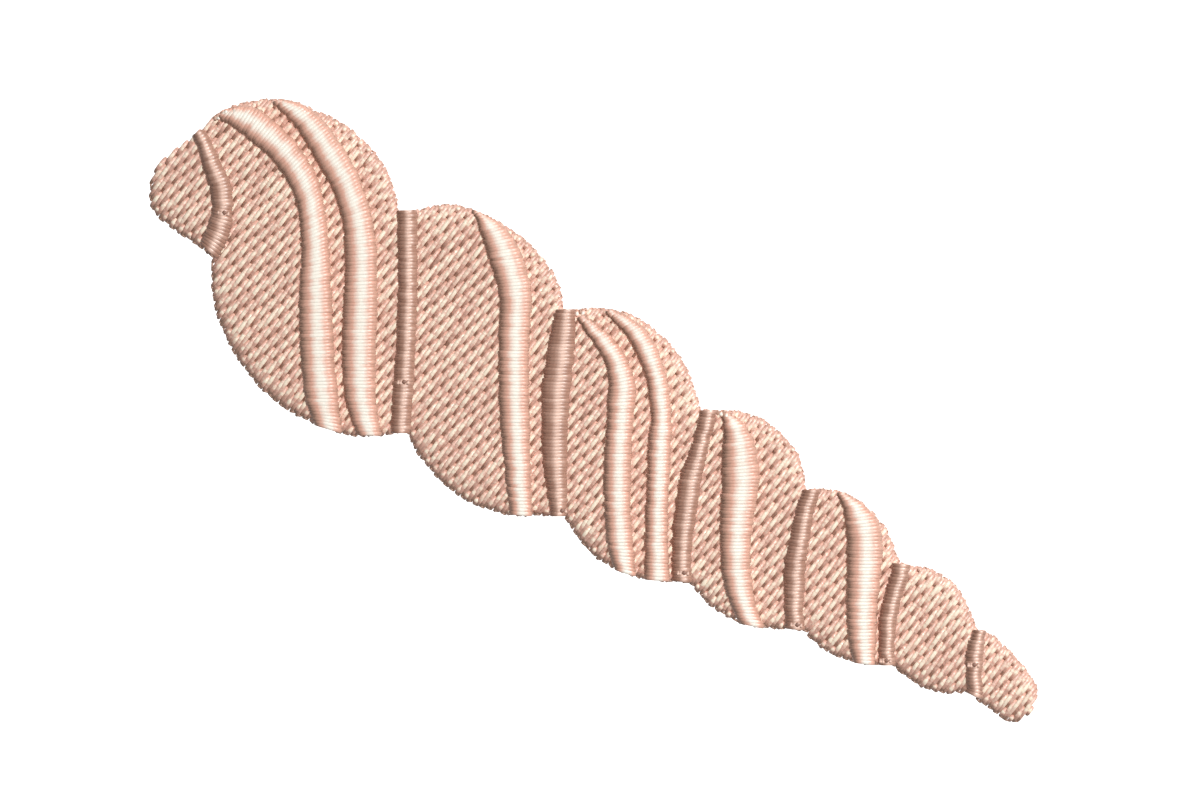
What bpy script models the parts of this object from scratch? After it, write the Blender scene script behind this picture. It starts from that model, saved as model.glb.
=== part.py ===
"""A turret shell worked in machine embroidery, lying stitched side up.

The motif is made in layers, from the back to the front: bobbin thread, ground cloth,
a tatami fill over the whole silhouette, and satin columns on top of the fill. The light
satin columns are the shell's ribs and the darker ones are the sutures between whorls.
"""

import math

import bmesh
import bpy

# Lengths below are in millimetres. The origin is the middle of the back face, +X runs
# from the siphon end to the apex end, +Y is up the hoop and +Z is the stitched side.
MM = 0.001

# Layer thicknesses and the gap that touching pieces keep
BOBBIN_THICKNESS = 0.2
CLOTH_THICKNESS = 0.35
FILL_THICKNESS = 0.5
GAP = 0.3

# How far each layer stays inside the outline of the fill
CLOTH_INSET = 0.25
BOBBIN_INSET = 0.6

# The fill's rounded rim, where its stitches turn down to the cloth
RIM_RADIUS = 0.15

# A satin column stands this high over its width, up to its crown
RIB_CROWN = 1.0
SUTURE_CROWN = 0.7
CROWN_TO_WIDTH = 0.42

# Facets across a satin column, and sections between two of its stations
CROWN_FACETS = 6
SECTIONS_PER_SPAN = 2

# Points that each stretch of the outline is smoothed with
OUTLINE_RESOLUTION = 2

BOBBIN_BASE = 0.0
CLOTH_BASE = BOBBIN_BASE + BOBBIN_THICKNESS + GAP
FILL_BASE = CLOTH_BASE + CLOTH_THICKNESS + GAP
SATIN_BASE = FILL_BASE + FILL_THICKNESS + GAP

# The silhouette, clockwise from the siphon end. Each stretch starts at a sharp notch,
# where a suture meets the edge, and runs round one whorl to the next notch.
LIP_AND_WHORL_1_TOP = (
    (-42.8, 17.2), (-44.1, 18.4), (-45.7, 19.5), (-47.5, 20.8), (-49.1, 22.1), (-49.7, 23.5),
    (-49.7, 25.2), (-49.1, 27.0), (-47.3, 29.0), (-44.8, 30.8), (-42.7, 32.9), (-40.4, 34.1),
    (-38.3, 34.7), (-35.7, 34.9), (-33.4, 34.6), (-31.3, 33.7), (-29.5, 32.9), (-27.6, 31.8),
    (-26.0, 30.4), (-24.5, 28.8), (-23.4, 27.1), (-22.6, 25.3),
)
WHORL_2_TOP = (
    (-21.9, 22.3), (-19.9, 22.4), (-18.2, 22.9), (-16.1, 23.1), (-14.4, 22.8), (-12.7, 22.1),
    (-11.1, 21.4), (-9.4, 20.3), (-7.4, 18.9), (-5.9, 17.2), (-4.5, 15.3), (-3.7, 13.3),
)
WHORL_3_TOP = (
    (-3.4, 11.3), (-1.5, 11.3), (0.7, 11.4), (3.0, 11.1), (5.2, 10.2), (7.2, 8.7), (8.9, 7.0),
    (10.4, 4.8), (11.3, 2.5),
)
WHORL_4_TOP = (
    (12.0, 0.0), (14.0, 0.0), (15.9, -0.1), (17.6, -0.4), (19.4, -1.3), (20.9, -2.5),
    (22.3, -4.0), (23.3, -5.8),
)
WHORL_5_TOP = (
    (23.8, -8.9), (25.6, -8.9), (27.4, -9.1), (29.2, -9.7), (30.8, -11.0), (32.3, -12.6),
    (33.3, -14.3), (33.9, -15.9),
)
WHORL_6_TOP = (
    (34.3, -17.1), (35.5, -17.4), (37.2, -17.7), (39.0, -18.4), (40.5, -19.6), (41.7, -21.4),
)
APEX = (
    (43.0, -24.6), (44.0, -24.8), (45.9, -26.3), (47.6, -28.0), (49.0, -29.7), (49.8, -31.3),
    (49.5, -32.9), (48.7, -34.1), (47.5, -34.9), (46.5, -34.7), (44.9, -33.7),
)
WHORL_6_FOOT = ((42.2, -31.6), (40.6, -31.6), (38.7, -31.5), (36.6, -30.8), (35.1, -29.8))
WHORL_5_FOOT = (
    (33.7, -28.4), (32.1, -28.5), (30.1, -28.3), (28.3, -27.9), (26.5, -27.2), (25.0, -26.0),
)
WHORL_4_FOOT = (
    (23.7, -24.6), (21.5, -24.4), (19.2, -24.3), (17.3, -24.0), (15.7, -23.4), (14.0, -22.4),
    (12.3, -21.0),
)
WHORL_3_FOOT = (
    (10.9, -19.2), (8.6, -19.1), (5.8, -18.8), (3.8, -18.3), (2.1, -17.5), (0.3, -16.4),
    (-1.3, -14.7), (-2.4, -13.2),
)
WHORL_2_FOOT = (
    (-3.2, -11.7), (-5.4, -11.7), (-8.2, -11.7), (-10.6, -11.4), (-12.9, -10.6), (-15.0, -9.6),
    (-16.9, -8.0), (-18.8, -5.9), (-20.1, -4.0),
)
WHORL_1_FOOT = (
    (-20.9, -2.3), (-22.9, -2.6), (-25.3, -2.8), (-27.6, -2.6), (-30.3, -1.8), (-32.8, -0.7),
    (-35.2, 0.8), (-37.2, 2.5), (-39.0, 4.6), (-40.4, 6.8), (-41.5, 9.0), (-42.4, 11.5),
    (-42.8, 14.2),
)
OUTLINE = (
    LIP_AND_WHORL_1_TOP, WHORL_2_TOP, WHORL_3_TOP, WHORL_4_TOP, WHORL_5_TOP, WHORL_6_TOP,
    APEX, WHORL_6_FOOT, WHORL_5_FOOT, WHORL_4_FOOT, WHORL_3_FOOT, WHORL_2_FOOT, WHORL_1_FOOT,
)

# Each satin column is a run of stations from the top edge down to the bottom edge.
# A station is one stitch: the x and y of its left end, then of its right end.
RIBS = (
    (
        (-42.0, 32.7, -40.8, 33.7), (-40.1, 31.6, -38.4, 34.2), (-38.3, 30.1, -36.3, 32.8),
        (-36.4, 28.5, -34.1, 30.8), (-34.8, 26.5, -32.5, 28.8), (-33.5, 24.2, -31.1, 26.3),
        (-32.9, 21.4, -30.2, 23.1), (-32.7, 17.0, -29.7, 18.0), (-33.0, 12.4, -29.4, 12.7),
        (-32.9, 7.9, -29.2, 8.1), (-32.6, 3.4, -28.9, 3.5), (-32.1, 0.6, -28.6, 0.5),
        (-31.2, -1.4, -28.2, -2.3),
    ),
    (
        (-35.8, 34.4, -34.6, 34.7), (-34.7, 33.3, -32.9, 34.3), (-33.0, 31.3, -30.7, 32.9),
        (-31.3, 28.4, -28.8, 30.5), (-29.5, 25.2, -26.7, 27.1), (-28.4, 22.4, -25.5, 24.0),
        (-28.0, 20.3, -24.7, 20.9), (-27.8, 16.7, -24.3, 17.0), (-28.0, 12.4, -24.3, 12.6),
        (-28.2, 7.9, -24.4, 8.0), (-28.1, 3.4, -24.5, 3.4), (-27.6, 0.3, -24.3, 0.2),
        (-26.5, -2.5, -23.8, -2.6),
    ),
    (
        (-13.5, 22.3, -12.7, 22.0), (-12.9, 20.8, -10.9, 21.2), (-12.3, 18.8, -9.1, 19.5),
        (-11.6, 16.7, -8.0, 17.1), (-10.7, 13.8, -7.1, 14.1), (-10.5, 11.1, -7.0, 11.3),
        (-10.6, 9.0, -7.2, 9.0), (-10.6, 3.4, -7.3, 3.4), (-10.4, -1.5, -7.2, -1.5),
        (-9.9, -6.7, -7.1, -6.7), (-9.4, -11.4, -6.9, -11.6),
    ),
    (
        (-1.7, 10.2, -0.9, 10.6), (-0.8, 8.8, 0.7, 9.3), (0.3, 7.2, 2.2, 8.0),
        (1.1, 5.8, 3.4, 6.3), (1.6, 4.2, 4.2, 4.8), (1.7, 2.5, 4.7, 3.0), (1.6, 1.0, 4.7, 1.2),
        (1.4, -2.8, 4.3, -2.8), (1.2, -5.3, 4.2, -5.3), (1.2, -10.0, 4.1, -10.0),
        (1.5, -14.5, 4.3, -14.5), (2.4, -17.6, 4.8, -18.4),
    ),
    (
        (1.4, 10.9, 2.3, 11.1), (2.6, 9.7, 4.2, 10.3), (3.8, 8.2, 5.8, 9.0),
        (4.7, 6.6, 7.0, 7.2), (5.5, 4.7, 7.7, 5.2), (6.1, 2.8, 8.3, 3.2), (6.3, 1.0, 8.6, 1.2),
        (6.5, -0.6, 8.7, -0.4), (6.3, -2.2, 8.7, -2.2), (6.1, -5.3, 8.6, -5.3),
        (5.9, -10.0, 8.4, -10.0), (5.8, -14.5, 8.3, -14.5), (5.8, -18.7, 8.5, -18.9),
    ),
    (
        (14.3, -0.4, 15.0, -0.3), (14.6, -1.6, 16.7, -1.3), (14.5, -4.0, 18.0, -3.5),
        (14.4, -6.7, 18.5, -6.3), (14.4, -8.7, 18.5, -8.7), (14.2, -12.3, 17.9, -12.3),
        (14.2, -15.6, 17.6, -15.6), (14.6, -19.0, 17.7, -19.0), (15.4, -21.8, 18.2, -22.0),
        (16.4, -23.6, 19.1, -24.2),
    ),
    (
        (27.4, -9.4, 28.3, -9.4), (27.9, -10.4, 29.6, -10.1), (28.1, -11.8, 31.2, -11.5),
        (28.3, -13.2, 32.1, -12.9), (28.4, -14.7, 32.4, -14.7), (28.4, -17.0, 32.3, -17.0),
        (28.4, -20.1, 32.0, -20.1), (28.4, -22.9, 31.7, -22.9), (28.6, -25.7, 31.6, -25.7),
        (29.1, -28.0, 31.6, -28.3),
    ),
)
SUTURES = (
    (
        (-44.9, 30.6, -43.6, 31.4), (-44.2, 29.2, -42.7, 29.8), (-43.7, 27.0, -41.8, 27.7),
        (-43.1, 25.3, -40.9, 25.9), (-42.8, 24.0, -40.5, 24.2), (-42.8, 22.5, -40.5, 22.1),
        (-43.3, 20.5, -41.0, 19.4), (-44.0, 19.0, -42.1, 17.2),
    ),
    (
        (-22.0, 22.2, -19.8, 22.2), (-21.9, 16.9, -19.8, 16.9), (-21.9, 12.4, -19.8, 12.4),
        (-22.1, 7.4, -20.0, 7.4), (-22.5, 2.3, -20.3, 2.3), (-22.7, -2.3, -20.6, -2.3),
    ),
    (
        (-4.3, 11.1, -2.1, 11.1), (-4.8, 8.4, -2.1, 8.4), (-5.4, 5.3, -2.3, 5.3),
        (-5.8, 1.6, -2.7, 1.6), (-5.8, -2.2, -2.9, -2.2), (-5.7, -5.5, -3.0, -5.5),
        (-5.2, -8.9, -3.0, -8.9), (-4.8, -11.6, -3.0, -11.6),
    ),
    (
        (11.9, -0.2, 13.8, -0.2), (11.2, -3.4, 13.0, -3.4), (10.5, -5.3, 12.6, -5.3),
        (9.8, -7.1, 12.2, -7.1), (9.3, -10.0, 11.7, -10.0), (8.9, -13.4, 11.2, -13.4),
        (8.8, -16.2, 10.9, -16.2), (8.9, -18.9, 11.0, -19.0),
    ),
    (
        (23.4, -9.1, 25.4, -9.1), (22.8, -11.1, 24.7, -11.1), (22.1, -14.0, 24.2, -14.0),
        (21.5, -17.0, 23.8, -17.0), (21.4, -20.1, 23.6, -20.1), (21.5, -22.4, 23.5, -22.4),
        (21.6, -24.2, 23.6, -24.4),
    ),
    (
        (33.6, -17.3, 35.5, -17.5), (33.0, -19.6, 35.0, -19.6), (32.4, -21.5, 34.4, -21.5),
        (32.1, -23.0, 34.1, -23.0), (32.0, -25.2, 33.8, -25.2), (32.0, -26.9, 33.7, -26.9),
        (32.0, -28.3, 33.8, -28.3),
    ),
    (
        (42.6, -24.8, 44.0, -24.9), (42.1, -26.0, 43.8, -26.0), (41.8, -27.4, 43.7, -27.4),
        (41.8, -29.1, 43.5, -29.1), (41.9, -30.4, 43.5, -30.4), (42.0, -31.4, 43.6, -32.2),
    ),
)

# Thread and cloth colours, linear RGB, with the roughness of each
PEACH_THREAD = ((0.74, 0.47, 0.37), 0.45)
ROSE_THREAD = ((0.55, 0.33, 0.25), 0.45)
DYED_CLOTH = ((0.42, 0.25, 0.19), 0.9)
WHITE_THREAD = ((0.80, 0.78, 0.74), 0.6)


def clear_scene():
    for item in list(bpy.data.objects):
        bpy.data.objects.remove(item, do_unlink=True)


def new_collection(name):
    collection = bpy.data.collections.new(name)
    bpy.context.scene.collection.children.link(collection)
    return collection


def give_material(item, finish):
    colour, roughness = finish
    material = bpy.data.materials.new(item.name)
    material.use_nodes = True
    shader = material.node_tree.nodes["Principled BSDF"]
    shader.inputs["Base Color"].default_value = (*colour, 1.0)
    shader.inputs["Roughness"].default_value = roughness
    shader.inputs["Metallic"].default_value = 0.0
    item.data.materials.append(material)


def outline_layer(collection, name, base, thickness, inset, rim, finish):
    """A flat layer in the shell's silhouette, drawn in from it by the inset."""
    curve = bpy.data.curves.new(name, "CURVE")
    curve.dimensions = "2D"
    curve.fill_mode = "BOTH"
    curve.resolution_u = OUTLINE_RESOLUTION
    curve.extrude = (thickness / 2 - rim) * MM
    curve.bevel_depth = rim * MM
    curve.bevel_resolution = 0
    curve.offset = -(inset + rim) * MM
    spline = curve.splines.new("BEZIER")
    spline.use_cyclic_u = True
    spline.bezier_points.add(sum(len(stretch) for stretch in OUTLINE) - 1)
    index = 0
    for stretch in OUTLINE:
        for step, (x, y) in enumerate(stretch):
            point = spline.bezier_points[index]
            point.co = (x * MM, y * MM, 0.0)
            kind = "VECTOR" if step == 0 else "AUTO"
            point.handle_left_type = kind
            point.handle_right_type = kind
            index += 1
    item = bpy.data.objects.new(name, curve)
    item.location.z = (base + thickness / 2) * MM
    collection.objects.link(item)
    give_material(item, finish)
    return item


def between(before, start, end, after, share):
    """One number on the smooth curve through start and end, by their neighbours."""
    slope_out = (end - before) / 2
    slope_in = (after - start) / 2
    cubic = 2 * start - 2 * end + slope_out + slope_in
    square = 3 * end - 3 * start - 2 * slope_out - slope_in
    return ((cubic * share + square) * share + slope_out) * share + start


def smooth_stations(stations):
    """The stations with more sections between them, on smooth edges."""
    first = [2 * a - b for a, b in zip(stations[0], stations[1])]
    last = [2 * a - b for a, b in zip(stations[-1], stations[-2])]
    padded = [first, *stations, last]
    sections = []
    for span in range(len(stations) - 1):
        rows = padded[span:span + 4]
        for step in range(SECTIONS_PER_SPAN):
            share = step / SECTIONS_PER_SPAN
            sections.append([between(*numbers, share) for numbers in zip(*rows)])
    sections.append(list(stations[-1]))
    return sections


def satin_column(collection, name, stations, most_crown, finish):
    """A crowned column of satin stitch: a loft between half ellipses over its stations."""
    mesh = bpy.data.meshes.new(name)
    shape = bmesh.new()
    rings = []
    for left_x, left_y, right_x, right_y in smooth_stations(stations):
        width = math.hypot(right_x - left_x, right_y - left_y)
        crown = min(most_crown, CROWN_TO_WIDTH * width)
        ring = []
        for facet in range(CROWN_FACETS + 1):
            turn = math.pi * facet / CROWN_FACETS
            across = (1 - math.cos(turn)) / 2
            x = left_x + (right_x - left_x) * across
            y = left_y + (right_y - left_y) * across
            z = SATIN_BASE + crown * math.sin(turn)
            ring.append(shape.verts.new((x * MM, y * MM, z * MM)))
        rings.append(ring)
    for upper, lower in zip(rings, rings[1:]):
        for facet in range(CROWN_FACETS):
            shape.faces.new((upper[facet], lower[facet], lower[facet + 1], upper[facet + 1]))
        shape.faces.new((upper[-1], lower[-1], lower[0], upper[0]))
    shape.faces.new(list(reversed(rings[0])))
    shape.faces.new(rings[-1])
    bmesh.ops.recalc_face_normals(shape, faces=shape.faces)
    shape.to_mesh(mesh)
    shape.free()
    mesh.shade_smooth()
    mesh.set_sharp_from_angle(angle=math.radians(50))
    item = bpy.data.objects.new(name, mesh)
    collection.objects.link(item)
    give_material(item, finish)
    return item


def build():
    clear_scene()
    parts = new_collection("Embroidered turret shell")
    outline_layer(
        parts, "bobbin_thread", BOBBIN_BASE, BOBBIN_THICKNESS, BOBBIN_INSET, 0.0, WHITE_THREAD
    )
    outline_layer(
        parts, "ground_cloth", CLOTH_BASE, CLOTH_THICKNESS, CLOTH_INSET, 0.0, DYED_CLOTH
    )
    outline_layer(
        parts, "tatami_fill", FILL_BASE, FILL_THICKNESS, 0.0, RIM_RADIUS, PEACH_THREAD
    )
    for number, stations in enumerate(RIBS, start=1):
        satin_column(parts, f"satin_rib_{number}", stations, RIB_CROWN, PEACH_THREAD)
    for number, stations in enumerate(SUTURES, start=1):
        satin_column(parts, f"satin_suture_{number}", stations, SUTURE_CROWN, ROSE_THREAD)


build()
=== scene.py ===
"""Dresses the embroidered turret shell: cloth, thread, light and camera."""

import math
import random

import bmesh
import bpy
import numpy as np
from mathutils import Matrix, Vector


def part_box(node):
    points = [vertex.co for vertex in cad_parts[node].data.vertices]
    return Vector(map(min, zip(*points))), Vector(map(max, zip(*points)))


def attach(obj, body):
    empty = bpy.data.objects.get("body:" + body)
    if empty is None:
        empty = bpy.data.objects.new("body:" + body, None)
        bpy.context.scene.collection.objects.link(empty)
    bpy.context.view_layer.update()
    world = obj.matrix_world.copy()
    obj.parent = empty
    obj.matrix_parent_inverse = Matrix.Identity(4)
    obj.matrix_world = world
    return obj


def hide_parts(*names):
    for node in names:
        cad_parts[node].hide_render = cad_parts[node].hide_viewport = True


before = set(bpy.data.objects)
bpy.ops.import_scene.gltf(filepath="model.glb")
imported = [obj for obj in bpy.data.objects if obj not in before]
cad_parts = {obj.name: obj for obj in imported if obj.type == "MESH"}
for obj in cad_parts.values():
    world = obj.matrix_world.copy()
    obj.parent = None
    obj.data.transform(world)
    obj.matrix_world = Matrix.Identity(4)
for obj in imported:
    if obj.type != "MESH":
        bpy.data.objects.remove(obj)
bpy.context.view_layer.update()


# Ground cloth. One piece of plain-woven cotton that was held in the hoop while everything
# was stitched through it. Its dark brown colour is partly the cloth's own and partly painted
# shade for the needle holes. It is cut close to the stitches, so only its edge and the gaps
# between needle holes show it.

# Cloth and stitches are laid out in millimetres, and this makes them metres.
MM = 0.001
MERGED = 1e-6
NEARLY_LEVEL = 0.9


def cad_shape(node):
    """A merged copy of a CAD node's mesh."""
    shape = bmesh.new()
    shape.from_mesh(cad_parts[node].data)
    bmesh.ops.remove_doubles(shape, verts=shape.verts, dist=MERGED)
    return shape


def walk_round(edges):
    """The corners of a closed loop of edges, in order."""
    beside = {}
    for edge in edges:
        for corner in edge.verts:
            beside.setdefault(corner, []).append(edge.other_vert(corner))
    start = edges[0].verts[0]
    path = [start]
    came_from = None
    while True:
        here = path[-1]
        onward = next(corner for corner in beside[here] if corner is not came_from)
        if onward is start:
            return path
        came_from = here
        path.append(onward)


def rim_of(node, depth):
    """The outline of a flat CAD layer, this far under its top, in millimetres."""
    shape = cad_shape(node)
    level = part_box(node)[1].z - depth * MM
    edges = [
        edge for edge in shape.edges
        if all(abs(corner.co.z - level) < MERGED for corner in edge.verts)
        and any(abs(face.normal.z) < NEARLY_LEVEL for face in edge.link_faces)
    ]
    rim = np.array([corner.co[:2] for corner in walk_round(edges)]) / MM
    shape.free()
    return rim


def shader_group(name, inputs, outputs):
    """An empty shader group with its sockets, and its first and last node."""
    group = bpy.data.node_groups.new(name, "ShaderNodeTree")
    for label, value in inputs.items():
        kind = "NodeSocketColor" if isinstance(value, tuple) else "NodeSocketFloat"
        group.interface.new_socket(label, in_out="INPUT", socket_type=kind).default_value = value
    for label in outputs:
        kind = "NodeSocketColor" if label == "Color" else "NodeSocketFloat"
        group.interface.new_socket(label, in_out="OUTPUT", socket_type=kind)
    return group, group.nodes.new("NodeGroupInput"), group.nodes.new("NodeGroupOutput")


def add_node(tree, kind, settings=None, **inputs):
    """A node with its settings, and its inputs set or linked by socket name."""
    node = tree.nodes.new(kind)
    for key, value in (settings or {}).items():
        setattr(node, key, value)
    for key, value in inputs.items():
        label = key.replace("_", " ")
        socket = node.inputs[int(key[3:])] if key.startswith("in_") else node.inputs[label]
        if isinstance(value, bpy.types.NodeSocket):
            tree.links.new(value, socket)
        else:
            socket.default_value = value
    return node


def calculate(tree, operation, *values):
    """The result of a Math node on numbers or sockets."""
    inputs = {f"in_{index}": value for index, value in enumerate(values)}
    kind = "ShaderNodeMath"
    return add_node(tree, kind, {"operation": operation}, **inputs).outputs[0]


def build_weave():
    """Plain weave from Object coordinates: a mask of the yarns and their height."""
    group, start, end = shader_group("plain_weave", {"Yarns per metre": 2600.0}, ("Yarn", "Height"))
    place = add_node(group, "ShaderNodeTexCoord").outputs["Object"]
    apart = add_node(group, "ShaderNodeSeparateXYZ", in_0=place)
    turns = calculate(group, "MULTIPLY", start.outputs[0], math.pi)
    across = calculate(group, "MULTIPLY", apart.outputs["X"], turns)
    along = calculate(group, "MULTIPLY", apart.outputs["Y"], turns)
    warp = calculate(group, "ABSOLUTE", calculate(group, "SINE", across))
    weft = calculate(group, "ABSOLUTE", calculate(group, "SINE", along))
    over = calculate(group, "SINE", calculate(group, "ADD", across, along))
    height = calculate(group, "MULTIPLY", calculate(group, "ADD", warp, weft), 0.5)
    group.links.new(height, end.inputs["Height"])
    group.links.new(calculate(group, "MULTIPLY_ADD", over, 0.5, 0.5), end.inputs["Yarn"])
    return group


weave = build_weave()

CLOTH_TOP = 0.82
CLOTH_BACK = 0.48
# Dark brown yarns: partly the cloth's own colour, partly painted shade where it shows between the
# stitches.
COTTON_PAINTED_SHADE = (0.25, 0.13, 0.09, 1.0)
COTTON_PAINTED_SHADE_LIGHT = (0.40, 0.23, 0.17, 1.0)

cloth_rim = rim_of("ground_cloth", 0.0)


def principled(name):
    """A new material, its node tree and its shader."""
    material = bpy.data.materials.new(name)
    material.use_nodes = True
    return material, material.node_tree, material.node_tree.nodes["Principled BSDF"]


dyed_cotton, tree, shader = principled("dyed_cotton")
yarns = add_node(tree, "ShaderNodeGroup", {"node_tree": weave})
tint = add_node(
    tree, "ShaderNodeMix", {"data_type": "RGBA"},
    in_0=yarns.outputs["Yarn"], in_6=COTTON_PAINTED_SHADE, in_7=COTTON_PAINTED_SHADE_LIGHT,
)
bump = add_node(
    tree, "ShaderNodeBump", Strength=0.6, Distance=0.00008, Height=yarns.outputs["Height"]
)
tree.links.new(tint.outputs[2], shader.inputs["Base Color"])
tree.links.new(bump.outputs["Normal"], shader.inputs["Normal"])
shader.inputs["Roughness"].default_value = 0.9
shader.inputs["Sheen Weight"].default_value = 0.2


def build_cloth():
    """The cut sheet: the outline laid flat, and raised to the cloth's thickness."""
    shape = bmesh.new()
    ring = [shape.verts.new((x * MM, y * MM, CLOTH_BACK * MM)) for x, y in cloth_rim]
    face = shape.faces.new(ring)
    raised = bmesh.ops.extrude_face_region(shape, geom=[face])["geom"]
    corners = [item for item in raised if isinstance(item, bmesh.types.BMVert)]
    bmesh.ops.translate(shape, verts=corners, vec=(0, 0, (CLOTH_TOP - CLOTH_BACK) * MM))
    bmesh.ops.recalc_face_normals(shape, faces=shape.faces)
    bmesh.ops.triangulate(shape, faces=shape.faces)
    mesh = bpy.data.meshes.new("ground_cloth_sheet")
    shape.to_mesh(mesh)
    shape.free()
    mesh.materials.append(dyed_cotton)
    sheet = bpy.data.objects.new("ground_cloth_sheet", mesh)
    bpy.context.scene.collection.objects.link(sheet)
    return sheet


cloth = build_cloth()
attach(cloth, "root")
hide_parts("ground_cloth")


# Tatami fill. Rows of 4 mm stitches of two-ply rayon embroidery thread, laid side by side
# over the whole silhouette. Each row's needle holes are a third of a stitch along from the
# last row's, and each stitch arches out of one hole and dives into the next.

STITCH = 4.109
ROW_SPACING = 0.389
ROW_SHIFT = 1.3563
ALONG = np.array((0.606, 0.7955))
ALONG /= np.linalg.norm(ALONG)
TO_NEXT_ROW = np.array((ALONG[1], -ALONG[0]))
A_STITCH_MIDDLE = np.array((-66.62, 45.64))
SHORTEST_STITCH = 0.8
SHORTEST_ROW = 0.5
HOLE_SPREAD = 0.10
ROW_START_SPREAD = (-0.10, 0.16)
ROW_END_SPREAD = (-0.10, 0.12)
FILL_RIM_DEPTH = 0.15
FILL_OVERHANG = 0.08

fill_rim = rim_of("tatami_fill", FILL_RIM_DEPTH)


def rows_in(rim, along, spacing, through):
    """Straight rows inside a rim: the row's number and offset, and its start and end."""
    across = np.array((along[1], -along[0]))
    s = rim @ along
    d = rim @ across
    s_next, d_next = np.roll(s, -1), np.roll(d, -1)
    middle = through @ across
    first = math.ceil((d.min() - middle) / spacing)
    last = math.floor((d.max() - middle) / spacing)
    for row in range(first, last + 1):
        level = middle + row * spacing
        hit = (d - level) * (d_next - level) < 0
        share = (level - d[hit]) / (d_next[hit] - d[hit])
        crossings = sorted(s[hit] + share * (s_next[hit] - s[hit]))
        for begin, finish in zip(crossings[::2], crossings[1::2]):
            yield row, level, begin, finish


def fill_holes():
    """Needle holes along each row of the fill: the row's number and offset, and the places."""
    dice = random.Random(11)
    middle = A_STITCH_MIDDLE @ ALONG
    for row, level, begin, finish in rows_in(fill_rim, ALONG, ROW_SPACING, A_STITCH_MIDDLE):
        begin -= FILL_OVERHANG + dice.uniform(*ROW_START_SPREAD)
        finish += FILL_OVERHANG + dice.uniform(*ROW_END_SPREAD)
        phase = middle + row * ROW_SHIFT + STITCH / 2
        first = math.ceil((begin + SHORTEST_STITCH - phase) / STITCH)
        last = math.floor((finish - SHORTEST_STITCH - phase) / STITCH)
        inner = [
            phase + step * STITCH + dice.gauss(0.0, HOLE_SPREAD)
            for step in range(first, last + 1)
        ]
        if finish - begin > SHORTEST_ROW:
            yield row, level, [begin, *inner, finish]


def at_row(along, across):
    """The point this far along the rows and this far across them."""
    return ALONG * along + TO_NEXT_ROW * across


def stitch_lines(name, stitches):
    """Straight lines for the thread tree, from stitches given as (start, end, rise, tone)."""
    starts, ends, rises, tones = (np.array(values) for values in zip(*stitches))
    corners = np.stack((starts, ends), axis=1).reshape(-1, 3) * MM
    mesh = bpy.data.meshes.new(name)
    mesh.from_pydata(corners.tolist(), [(2 * i, 2 * i + 1) for i in range(len(starts))], [])
    spans = np.repeat((ends - starts) * MM, 2, axis=0)
    mesh.attributes.new("span", "FLOAT_VECTOR", "POINT").data.foreach_set("vector", spans.ravel())
    for label, numbers in (("rise", rises * MM), ("tone", tones)):
        layer = mesh.attributes.new(label, "FLOAT", "POINT")
        layer.data.foreach_set("value", np.repeat(numbers, 2))
    return mesh


THREAD_INPUTS = (
    ("Lines", "Geometry", None),
    ("Thread Width", "Float", 0.0004),
    ("Thread Height", "Float", 0.0002),
    ("Segments", "Int", 8),
    ("Profile Points", "Int", 6),
    ("Profile Turn", "Float", 0.0),
    ("Roundness", "Float", 1.0),
    ("Lean", "Float", 1.0),
    ("Arch Power", "Float", 1.0),
    ("Squareness", "Float", 2.0),
    ("End Width", "Float", 0.6),
    ("Wander", "Float", 0.00002),
    ("Seed", "Float", 1.0),
    ("Material", "Material", None),
)
WANDER_SCALE = 900.0
END_TAPER_POWER = 8.0
SHARP_ANGLE = 1.3


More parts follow.
